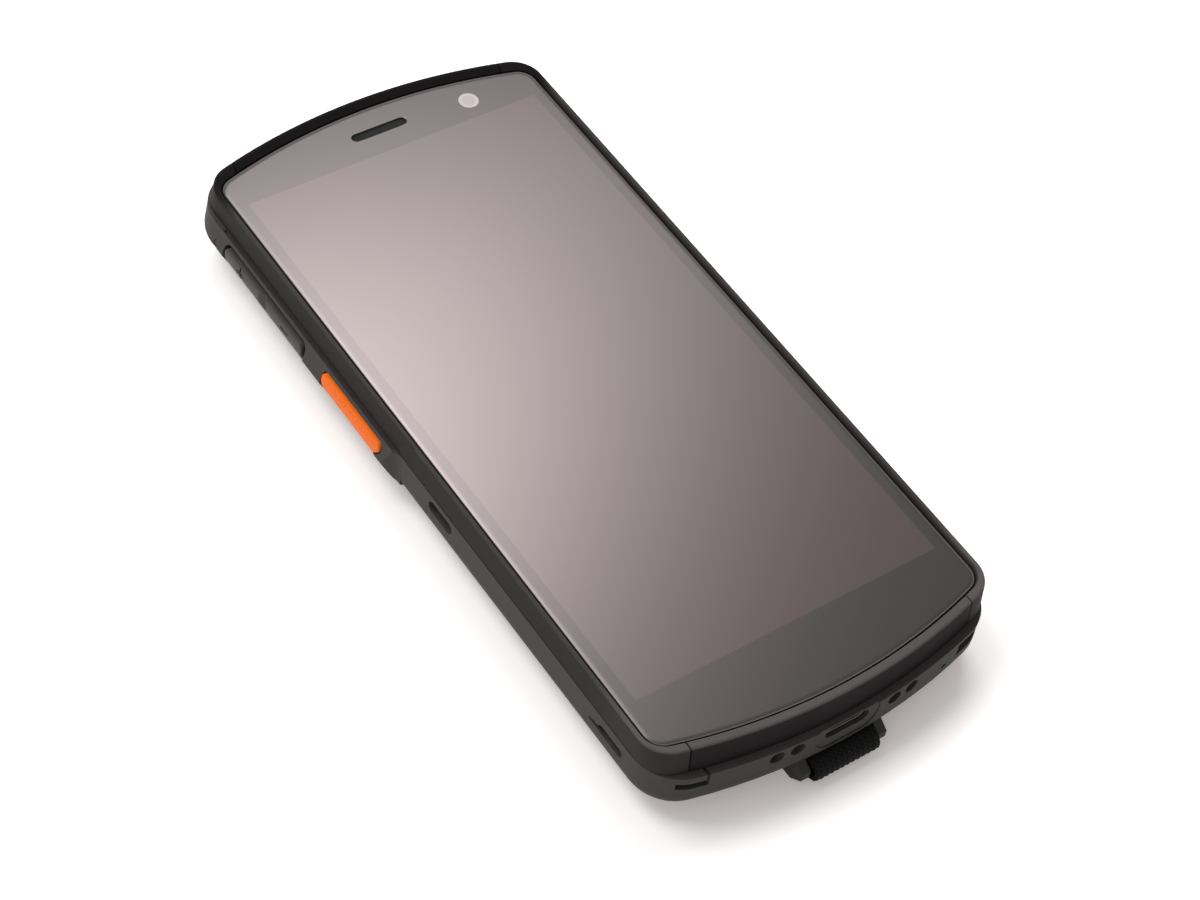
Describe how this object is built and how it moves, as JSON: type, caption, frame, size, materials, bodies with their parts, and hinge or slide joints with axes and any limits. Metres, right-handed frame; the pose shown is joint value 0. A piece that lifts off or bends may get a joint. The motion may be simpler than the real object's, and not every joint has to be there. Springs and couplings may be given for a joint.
{
  "type": "handheld data terminal",
  "caption": "Rugged handheld data terminal with a large touch screen, side scan keys, a rocking volume key, a top scanner window and a padded hand strap.",
  "frame": {"origin": "under the middle of the whole object, on the surface that it lies on", "axes": "+X to the right of the screen, +Y to the top end with the earpiece, +Z out of the glass"},
  "size_m": [0.0748, 0.1626, 0.0183],
  "materials": {
    "adhesive_black": "foam adhesive",
    "antenna_copper": "etched copper track",
    "battery_wrap": "grey film wrap",
    "board_green": "solder-masked board",
    "chassis_metal": "cast, as made",
    "contact_gold": "gold-plated",
    "cover_black": "fine moulded texture, near black",
    "display_black": "display stack, switched off",
    "engine_black": "black moulding",
    "flex_amber": "polyimide film",
    "frame_black": "satin black hard plastic",
    "housing_charcoal": "fine moulded texture, charcoal",
    "key_charcoal": "fine moulded texture, charcoal",
    "key_orange": "orange, fine dotted texture",
    "lens_clear": "frosted diffuser",
    "lens_dark": "black camera body with a coated lens",
    "mesh_metal": "fine blackened mesh",
    "pad_fabric": "padded knit, bound edge",
    "port_steel": "drawn steel shell",
    "rail_soft": "matt soft-touch elastomer, dark grey",
    "ring_metal": "black anodised ring",
    "screen_glass": "polished flat cover glass",
    "screw_steel": "blackened steel",
    "seal_rubber": "silicone cord",
    "speaker_black": "moulded speaker box",
    "steel_plain": "plain sheet steel",
    "webbing_black": "woven strap",
    "window_dark": "tinted camera window",
    "window_red": "dark red polished window"
  },
  "bodies": {
    "terminal": {"battery_contacts": "contact_gold", "battery_cover": "cover_black", "battery_cover_screws": "screw_steel", "battery_pack": "battery_wrap", "battery_seal": "seal_rubber", "board_flex": "flex_amber", "board_screws": "screw_steel", "camera_ring": "ring_metal", "camera_window": "window_dark", "card_socket": "steel_plain", "cover_glass": "screen_glass", "display_adhesive": "adhesive_black", "dock_contacts": "contact_gold", "earpiece_mesh": "mesh_metal", "earpiece_receiver": "steel_plain", "flash_lens": "lens_clear", "front_camera": "lens_dark", "front_frame": "frame_black", "housing_screws": "screw_steel", "housing_seal": "seal_rubber", "key_board_left": "board_green", "key_board_right": "board_green", "loudspeaker": "speaker_black", "main_board": "board_green", "microphone": "steel_plain", "mid_chassis": "chassis_metal", "nfc_antenna": "antenna_copper", "rear_camera": "lens_dark", "rear_housing": "housing_charcoal", "scan_bracket": "chassis_metal", "scan_engine": "engine_black", "scan_window": "window_red", "shield_cans": "steel_plain", "side_rail_left": "rail_soft", "side_rail_right": "rail_soft", "speaker_mesh": "mesh_metal", "strap_bars": "screw_steel", "strap_pad": "pad_fabric", "strap_webbing": "webbing_black", "touch_display": "display_black", "usb_board": "board_green", "usb_receptacle": "port_steel", "vibration_motor": "steel_plain"},
    "volume_rocker": {"volume_rocker": "key_charcoal"},
    "scan_key_left": {"scan_key_left": "key_orange"},
    "scan_key_right": {"scan_key_right": "key_orange"},
    "power_key": {"power_key": "key_charcoal"}
  },
  "joints": [
    {"name": "volume_rock", "type": "hinge", "parent": "terminal", "child": "volume_rocker", "pos_m": [-0.03163, 0.0487, 0.0089], "axis": [0, 0, 1], "range_deg": [-1.5, 1.5], "stiffness_Nm_per_rad": 0.2},
    {"name": "scan_left_press", "type": "slide", "parent": "terminal", "child": "scan_key_left", "axis": [1, 0, 0], "range_m": [0, 0.0005], "stiffness_N_per_m": 1000},
    {"name": "scan_right_press", "type": "slide", "parent": "terminal", "child": "scan_key_right", "axis": [-1, 0, 0], "range_m": [0, 0.0005], "stiffness_N_per_m": 1000},
    {"name": "power_press", "type": "slide", "parent": "terminal", "child": "power_key", "axis": [-1, 0, 0], "range_m": [0, 0.0005], "stiffness_N_per_m": 1000}
  ]
}
